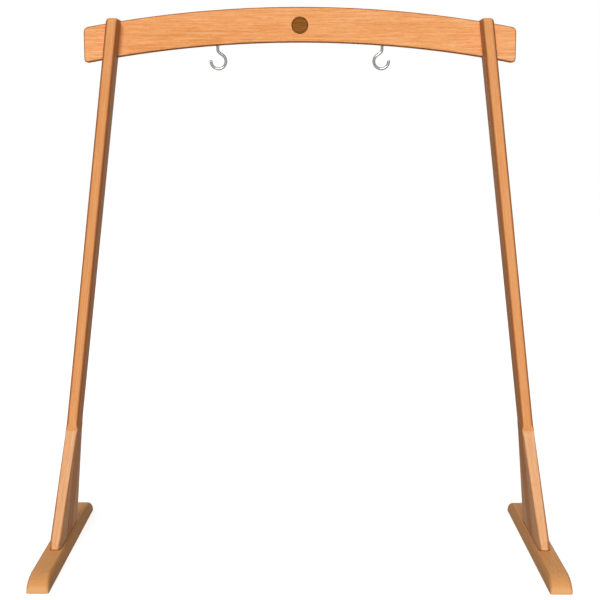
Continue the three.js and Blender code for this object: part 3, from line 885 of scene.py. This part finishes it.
def gusset_block(name, side, end, base, grow=0.0):
    """A gusset in front, end -1, or behind, end 1, or a larger one for its housing."""
    half = POST_HALF - GUSSET_SETBACK + grow
    seat = post_high.y + CLEARANCE - grow
    reach = grow - gusset_low.y
    rings = []
    for z, edge in [
        (base, HEEL_EDGE), (heel_top, HEEL_EDGE), (heel_top + HEEL_RUNOUT, GUSSET_EDGE),
        (gusset_top - EDGE_RUNOUT, GUSSET_EDGE), (gusset_top, GUSSET_EDGE),
    ]:
        rise = max(z - heel_top, 0.0) / (gusset_top - heel_top)
        outside = reach + (seat + GUSSET_TIP - reach) * rise
        radius = min(edge, (outside - seat) / 2)
        if end < 0:
            rings.append(board_section(post_x(side, z), half, -outside, -seat, z, radius, GLUE_EDGE))
        else:
            rings.append(board_section(post_x(side, z), half, seat, outside, z, GLUE_EDGE, radius))
    return loft(name, rings)


SAND = (srgb(196, 136, 82), srgb(224, 167, 120), srgb(240, 194, 150))
GUSSET_PITH_X = 0.63
GUSSET_PITH_Y = 0.35
taper = (-gusset_low.y - post_high.y) / (gusset_top - heel_top)
for name, side in SIDES.items():
    for depth, end in ENDS.items():
        gusset = gusset_block(f"{name}_{depth}_gusset_block", side, end, post_low.z)
        lean = (-side * LEAN_SLOPE, -end * taper, 1)
        pith = (side * GUSSET_PITH_X, end * GUSSET_PITH_Y, 0.0)
        # The gussets get a thin painted shadow just above the top of the foot.
        gusset.data.materials.append(beech(f"{name} {depth} gusset beech", SAND, lean, post_flank(side),
                                           pith, figure=0.8, joint=foot_high.z))
        settle(gusset)
        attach(gusset, "frame")
        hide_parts(f"{name}_{depth}_gusset")

# Feet
# Each foot is a runner of beech from front to back with an elliptic nose at both ends and
# rounded edges. A shallow housing takes the post and gussets, and two bolts pull them in.

FOOT_NOSE = 0.050
FOOT_TOE = 0.003
FOOT_EDGE = 0.009
FOOT_SOLE_EDGE = 0.0012
TIP_SHARE = 0.3
HOUSING_DEPTH = 0.006
NOSE_STEPS = 24
SOLE_STEPS = 3


def foot_outline(x, inset, lift):
    """The foot's side view at one x, drawn in from the top and the noses, and lifted off the floor."""
    flat = foot_high.y - FOOT_NOSE
    rise = foot_high.z - FOOT_TOE
    nose = []
    for angle in quarter_round(NOSE_STEPS):
        out = Vector((math.cos(angle) / FOOT_NOSE, math.sin(angle) / rise)).normalized()
        drawn = inset * (TIP_SHARE + (1 - TIP_SHARE) * math.sin(angle))
        y = flat + FOOT_NOSE * math.cos(angle) - out.x * drawn
        nose.append((y, FOOT_TOE + rise * math.sin(angle) - out.y * drawn))
    tip = nose[0][0]
    under = []
    for angle in reversed(quarter_round(SOLE_STEPS)):
        y = tip - FOOT_SOLE_EDGE * (1 - math.cos(angle))
        under.append((y, max(lift, FOOT_SOLE_EDGE * (1 - math.sin(angle)))))
    front = under + nose
    whole = front + [(-y, z) for y, z in reversed(front)]
    return [Vector((x, y, z)) for y, z in whole]


def foot_block(name, side):
    """A foot before it is housed and bored, in upright layers from one side to the other."""
    middle = side * (foot_low.x + foot_high.x) / 2
    half = (foot_high.x - foot_low.x) / 2
    layers = []
    for i in range(-CORNER_STEPS, CORNER_STEPS + 1):
        angle = math.pi / 2 * (1 - abs(i) / CORNER_STEPS)
        inside = FOOT_EDGE * (1 - math.cos(angle))
        out = math.copysign(half - inside, i)
        rest = max(FOOT_SOLE_EDGE - inside, 0.0)
        lift = FOOT_SOLE_EDGE - math.sqrt(FOOT_SOLE_EDGE ** 2 - rest ** 2)
        if i == 0:
            layers.append(foot_outline(middle - out, 0.0, lift))
        layers.append(foot_outline(middle + out, FOOT_EDGE * (1 - math.sin(angle)), lift))
    return loft(name, layers)


FOOT_BOLT_DIAMETER = 0.008
COUNTERBORE_DIAMETER = 0.018
COUNTERBORE_DEPTH = 0.013
UMBER = (srgb(190, 126, 66), srgb(219, 157, 98), srgb(238, 186, 134))
FOOT_PITH_X = 0.42
FOOT_PITH_Z = -0.26
bore_ceiling = COUNTERBORE_DEPTH - post_low.z
housing_floor = foot_high.z - HOUSING_DEPTH
for name, side in SIDES.items():
    foot = foot_block(f"{name}_foot_runner", side)
    pith = (side * FOOT_PITH_X, 0.0, FOOT_PITH_Z)
    foot.data.materials.append(beech(f"{name} foot beech", UMBER, (0, 1, 0), (1, 0, 0), pith,
                                     figure=0.6, edge_wear_and_shade=0.25))
    cutters = [post_blank("housing", side, housing_floor, CLEARANCE)]
    for end in ENDS.values():
        cutters.append(gusset_block("housing", side, end, housing_floor, CLEARANCE))
        bolt_place = foot_bolt_place(side, end)
        cutters.append(drilled("counterbore", COUNTERBORE_DIAMETER / 2, bolt_place,
                               -post_low.z - OVERRUN, bore_ceiling))
        cutters.append(drilled("bolt hole", FOOT_BOLT_DIAMETER / 2 + BOLT_HOLE_CLEARANCE, bolt_place,
                               bore_ceiling - OVERRUN, OVERRUN))
    settle(foot, cutters)
    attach(foot, "frame")
    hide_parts(f"{name}_foot")

# Bolts and inserts
# Zinc-plated hexagon-socket bolts with washers under the feet, flat-headed connector bolts
# behind the beam, and turned brass inserts that are screwed into the posts, four of each.

HEAD_DIAMETER = 0.013
HEAD_HEIGHT = 0.008
HEAD_KEY = 0.006
HEAD_KEY_DEPTH = 0.004
FLAT_HEAD_DIAMETER = 0.017
FLAT_HEAD_HEIGHT = 0.0024
FLAT_KEY = 0.004
FLAT_KEY_DEPTH = 0.0018
FOOT_BOLT_REACH = 0.0205
BEAM_BOLT_REACH = 0.0144
WASHER_DIAMETER = 0.016
WASHER_HOLE = 0.0088
WASHER_THICKNESS = 0.0016
FOOT_BOLT_PITCH = 0.00125
BEAM_BOLT_PITCH = 0.001
INSERT_PITCH = 0.003
BOLT_THREAD = 0.0005
INSERT_THREAD = 0.0009
GROOVE_SPAN = (0.08, 0.42)
CORE_SHARE = 0.45
BOLT_ROWS = 6
INSERT_ROWS = 12
BOLT_CHAMFER = 0.0008
HEAD_EASE = 0.0002
TUBE_EASE_SHARE = 1 / 16
KNURLS = 30
KNURL_DEPTH = 0.00012
KNURL_MARGIN = 0.0001
BOLT_SIDES = 60
washer_top = bore_ceiling - CLEARANCE
foot_seat = washer_top - WASHER_THICKNESS - CLEARANCE


def four_tree():
    """Four like pieces at the corners of a leaning square, threaded, knurled and keyed."""
    tree, given, output = new_tree("four of a kind", [
        ("Geometry", "Geometry"), ("Pitch", "Float"), ("Thread", "Float"), ("Core", "Float"),
        ("Thread From", "Float"), ("Thread To", "Float"), ("Knurls", "Float"), ("Knurl", "Float"),
        ("Knurl From", "Float"), ("Knurl To", "Float"), ("Key", "Float"), ("Key Mouth", "Float"),
        ("Key Depth", "Float"), ("Middle", "Vector"), ("Spread", "Vector"), ("Slope", "Float"),
        ("Lean", "Float"), ("Turn", "Float"), ("Material", "Material"),
    ])
    at = point_parts(tree)
    spread = off_axis(tree, at)
    wave = thread_wave(tree, at, given["Pitch"])
    groove = times(tree, evenly(tree, wave, *GROOVE_SPAN, 1.0, 0.0), given["Thread"])
    first = plus(tree, given["Thread From"], given["Pitch"])
    final = minus(tree, given["Thread To"], given["Pitch"])
    starting = between(tree, at["Z"], given["Thread From"], first)
    ending = between(tree, at["Z"], final, given["Thread To"], 1.0, 0.0)
    threaded = times(tree, starting, ending)
    outside = reckon(tree, "GREATER_THAN", spread, given["Core"])
    groove = times(tree, groove, times(tree, threaded, outside))
    ridges = times(tree, turns_round(tree, at), given["Knurls"])
    ridge = reckon(tree, "PINGPONG", ridges, 0.5)
    above = reckon(tree, "GREATER_THAN", at["Z"], given["Knurl From"])
    below = reckon(tree, "LESS_THAN", at["Z"], given["Knurl To"])
    gripped = times(tree, above, below)
    dent = times(tree, times(tree, ridge, given["Knurl"]), gripped)
    share = over(tree, plus(tree, groove, dent), spread)
    body = add(tree, "GeometryNodeSetPosition", {
        "Geometry": given["Geometry"],
        "Position": drawn_in(tree, at, minus(tree, 1.0, share)),
    })

    corner = over(tree, given["Key"], 2 * math.cos(math.pi / 6))
    socket = add(tree, "GeometryNodeMeshCylinder", {
        "Vertices": 6, "Radius": corner, "Depth": times(tree, given["Key Depth"], 2.0),
    })
    sunk = add(tree, "GeometryNodeTransform", {
        "Geometry": socket, "Translation": vector(tree, z=given["Key Mouth"]),
    })
    keyed = add(tree, "GeometryNodeMeshBoolean", {
        "Mesh 1": body, "Mesh 2": sunk,
    }, operation="DIFFERENCE")
    one = add(tree, "GeometryNodeSwitch", {
        "Switch": reckon(tree, "GREATER_THAN", given["Key"], 0.0),
        "False": body, "True": keyed,
    }, input_type="GEOMETRY")

    corners = add(tree, "GeometryNodeMeshGrid", {
        "Size X": 2.0, "Size Y": 2.0, "Vertices X": 2, "Vertices Y": 2,
    })
    side = point_parts(tree)
    half = parts(tree, given["Spread"])
    up = times(tree, side["Y"], half["Z"])
    out = minus(tree, half["X"], times(tree, given["Slope"], up))
    x = times(tree, side["X"], out)
    y = times(tree, side["Y"], half["Y"])
    spot = reckon_vector(tree, "ADD", vector(tree, x, y, up), given["Middle"])["Vector"]
    spots = add(tree, "GeometryNodeSetPosition", {
        "Geometry": corners, "Position": spot,
    })
    inwards = times(tree, reckon(tree, "SIGN", side["X"]), -1.0)
    tilt = times(tree, inwards, given["Lean"])
    four = add(tree, "GeometryNodeInstanceOnPoints", {
        "Points": spots, "Instance": one,
        "Rotation": add(tree, "FunctionNodeEulerToRotation", {
            0: vector(tree, given["Turn"], tilt),
        }),
    })
    end_tree(tree, four, given["Material"], output)
    return tree


def rows(radius, low, high, step):
    """Rows of a turned profile along a straight side."""
    count = max(1, round(abs(high - low) / step))
    return [(radius, low + (high - low) * i / count) for i in range(count + 1)]


def bolt_blank(name, diameter, reach, seat, head, height, pitch):
    """A bolt before its thread and its key are cut, with its head's underside at the seat."""
    radius = diameter / 2
    rim = head / 2
    face = seat - height
    return turned(name, [
        (0, face),
        (rim - BOLT_CHAMFER, face),
        *[(rim - BOLT_CHAMFER * (1 - math.sin(angle)), face + BOLT_CHAMFER * (1 - math.cos(angle)))
          for angle in quarter_round(RIM_STEPS)[1:]],
        (rim, seat - HEAD_EASE),
        (rim - HEAD_EASE, seat),
        *rows(radius, seat, reach - BOLT_CHAMFER, pitch / BOLT_ROWS),
        (radius - BOLT_CHAMFER, reach),
        (0, reach),
    ], Matrix(), BOLT_SIDES)


def tube_blank(name, outer, inner, low, high, step):
    """A turned tube with eased ends, such as a washer, or an insert before its thread is cut."""
    ease = (outer - inner) * TUBE_EASE_SHARE
    profile = [
        (outer / 2 - ease, low),
        *rows(outer / 2, low + ease, high - ease, step),
        (outer / 2 - ease, high),
        (inner / 2 + ease, high),
        (inner / 2, high - ease),
        (inner / 2, low + ease),
        (inner / 2 + ease, low),
    ]
    points = []
    faces = []
    for row, (radius, z) in enumerate(profile):
        points.extend(circle(radius, z, BOLT_SIDES))
        faces += band(row * BOLT_SIDES, (row + 1) % len(profile) * BOLT_SIDES, BOLT_SIDES)
    piece = new_piece(name)
    piece.data.from_pydata(points, [], faces)
    return piece


zinc = metal("zinc plate", srgb(184, 186, 190), rough=0.36, waves=420.0, scratch=0.2)
brass = metal("turned brass", srgb(190, 150, 84), rough=0.34, waves=420.0, scratch=0.2)
four = four_tree()
beam_bolt_reach = 2 * CLEARANCE + BEAM_THICKNESS + BEAM_BOLT_REACH
under_posts = {
    "Middle": (0.0, 0.0, post_low.z),
    "Spread": (post_x(1, post_low.z), post_high.y - FOOT_BOLT_MARGIN, 0.0),
    "Slope": LEAN_SLOPE, "Lean": POST_LEAN, "Turn": 0.0,
}
behind_beam = {
    "Middle": (0.0, beam_high.y + CLEARANCE, bolts_z),
    "Spread": (post_x(1, bolts_z), 0.0, bolts_rise),
    "Slope": LEAN_SLOPE, "Lean": 0.0, "Turn": math.pi / 2,
}
in_notches = {**behind_beam, "Middle": (0.0, notch_floor, bolts_z)}


def fit_four(blank, spots, finish, kind, places, work):
    """Sets four of a blank in their places, where they stand for the nodes of their kind."""
    shape_with(blank, four, {**spots, **work, "Material": finish})
    settle(blank)
    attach(blank, "frame")
    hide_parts(*[f"{side}_{place}_{kind}" for side in SIDES for place in places])


foot_bolts = bolt_blank("foot_bolts", FOOT_BOLT_DIAMETER, FOOT_BOLT_REACH, foot_seat,
                        HEAD_DIAMETER, HEAD_HEIGHT, FOOT_BOLT_PITCH)
fit_four(foot_bolts, under_posts, zinc, "foot_bolt", ENDS, {
    "Pitch": FOOT_BOLT_PITCH, "Thread": BOLT_THREAD,
    "Thread From": foot_seat + FOOT_BOLT_DIAMETER, "Thread To": FOOT_BOLT_REACH,
    "Knurls": KNURLS, "Knurl": 2 * KNURL_DEPTH,
    "Knurl From": foot_seat - HEAD_HEIGHT + BOLT_CHAMFER - KNURL_MARGIN,
    "Knurl To": foot_seat - KNURL_MARGIN,
    "Key": HEAD_KEY, "Key Mouth": foot_seat - HEAD_HEIGHT, "Key Depth": HEAD_KEY_DEPTH,
})

foot_washers = tube_blank("foot_washers", WASHER_DIAMETER, WASHER_HOLE,
                          washer_top - WASHER_THICKNESS, washer_top, WASHER_THICKNESS)
fit_four(foot_washers, under_posts, zinc, "foot_washer", ENDS, {"Pitch": 1.0})

foot_inserts = tube_blank("foot_inserts", FOOT_INSERT_DIAMETER, FOOT_BOLT_DIAMETER + 2 * CLEARANCE,
                          FOOT_INSERT_SINK, foot_insert_end, INSERT_PITCH / INSERT_ROWS)
fit_four(foot_inserts, under_posts, brass, "foot_insert", ENDS, {
    "Pitch": INSERT_PITCH, "Thread": INSERT_THREAD, "Core": FOOT_INSERT_DIAMETER * CORE_SHARE,
    "Thread From": FOOT_INSERT_SINK, "Thread To": foot_insert_end,
})

beam_bolts = bolt_blank("beam_bolts", BEAM_BOLT_DIAMETER, beam_bolt_reach, 0.0,
                        FLAT_HEAD_DIAMETER, FLAT_HEAD_HEIGHT, BEAM_BOLT_PITCH)
fit_four(beam_bolts, behind_beam, zinc, "beam_bolt", LEVELS, {
    "Pitch": BEAM_BOLT_PITCH, "Thread": BOLT_THREAD,
    "Thread From": BEAM_BOLT_DIAMETER, "Thread To": beam_bolt_reach,
    "Key": FLAT_KEY, "Key Mouth": -FLAT_HEAD_HEIGHT, "Key Depth": FLAT_KEY_DEPTH,
})

beam_inserts = tube_blank("beam_inserts", BEAM_INSERT_DIAMETER, BEAM_BOLT_DIAMETER + 2 * CLEARANCE,
                          BEAM_INSERT_SINK, beam_insert_end, INSERT_PITCH / INSERT_ROWS)
fit_four(beam_inserts, in_notches, brass, "beam_insert", LEVELS, {
    "Pitch": INSERT_PITCH, "Thread": INSERT_THREAD, "Core": BEAM_INSERT_DIAMETER * CORE_SHARE,
    "Thread From": BEAM_INSERT_SINK, "Thread To": beam_insert_end,
})

# Floor and light
# A pale studio floor that keeps the stand's soft shadow, under a broad light from above and
# behind the camera, a weaker one from the rear, and a dim even surround.

FLOOR_SIZE = 14.0
PAPER_GREY = (0.42, 0.42, 0.42, 1.0)
PAPER_GLOW = 0.80
WHITE = (1.0, 1.0, 1.0, 1.0)
SURROUND_LIGHT = 0.21
KEY_LIGHT = 2.85
KEY_SPREAD = math.radians(24)
KEY_FROM = (-0.10, -0.89, 0.447)
REAR_LIGHT = 0.8
REAR_SPREAD = math.radians(60)
REAR_FROM = (0.0, 0.9, 0.4)


def seen_directly(tree):
    """One for rays from the camera, or by way of gloss or glass, and zero for all others."""
    rays = add(tree, "ShaderNodeLightPath").outputs
    indirect = plus(tree, rays["Is Glossy Ray"], rays["Is Transmission Ray"])
    return reckon(tree, "MINIMUM", plus(tree, rays["Is Camera Ray"], indirect), 1.0)


def sun(name, source, strength, spread):
    """An even light from a direction, softer with a wider spread."""
    lamp = bpy.data.lights.new(name, "SUN")
    lamp.energy = strength
    lamp.angle = spread
    holder = new_piece(name, lamp)
    holder.rotation_euler = Vector(source).to_track_quat("Z", "Y").to_euler()


paper, tree, shader = new_finish("studio paper")
tree.nodes.remove(shader)
matt = add(tree, "ShaderNodeBsdfDiffuse", {"Color": PAPER_GREY})
glow = add(tree, "ShaderNodeEmission", {
    "Strength": times(tree, seen_directly(tree), PAPER_GLOW),
})
both = add(tree, "ShaderNodeAddShader", {0: matt, 1: glow})
tree.links.new(both.outputs[0], tree.nodes["Material Output"].inputs["Surface"])
half = FLOOR_SIZE / 2
floor = new_piece("studio_floor")
floor.data.from_pydata([(-half, -half, 0), (half, -half, 0), (half, half, 0), (-half, half, 0)],
                       [], [(0, 1, 2, 3)])
floor.data.materials.append(paper)

world = bpy.data.worlds.new("studio")
world.use_nodes = True
bpy.context.scene.world = world
tree = world.node_tree
surround = tree.nodes["Background"]
surround.inputs["Color"].default_value = WHITE
strength = evenly(tree, seen_directly(tree), 0, 1, SURROUND_LIGHT, 1.0)
tree.links.new(strength, surround.inputs["Strength"])
sun("key", KEY_FROM, KEY_LIGHT, KEY_SPREAD)
sun("rear fill", REAR_FROM, REAR_LIGHT, REAR_SPREAD)

# Camera
# It stands about two and a half metres in front, a little below the beam, and looks down
# slightly. Its place and view were fitted to the edges of the stand in the picture.

CAMERA_AT = Vector((0.0094, -2.5581, 0.9671))
PITCH = 0.1559
YAW = -0.0035
ROLL = 0.0002
FOCAL_PIXELS = 1190.8
PICTURE_PIXELS = 600
SENSOR = 36.0
ahead = Vector((math.cos(PITCH) * math.sin(YAW), math.cos(PITCH) * math.cos(YAW), -math.sin(PITCH)))
level = Vector((math.cos(YAW), -math.sin(YAW), 0))
upright = level.cross(ahead)
right = level * math.cos(ROLL) + upright * math.sin(ROLL)
up = upright * math.cos(ROLL) - level * math.sin(ROLL)
lens = bpy.data.cameras.new("camera")
lens.sensor_width = SENSOR
lens.lens = SENSOR * FOCAL_PIXELS / PICTURE_PIXELS
camera = new_piece("camera", lens)
turn = Matrix((right, up, -ahead)).transposed().to_4x4()
camera.matrix_world = Matrix.Translation(CAMERA_AT) @ turn
bpy.context.scene.camera = camera
bpy.context.scene.view_settings.view_transform = "Standard"
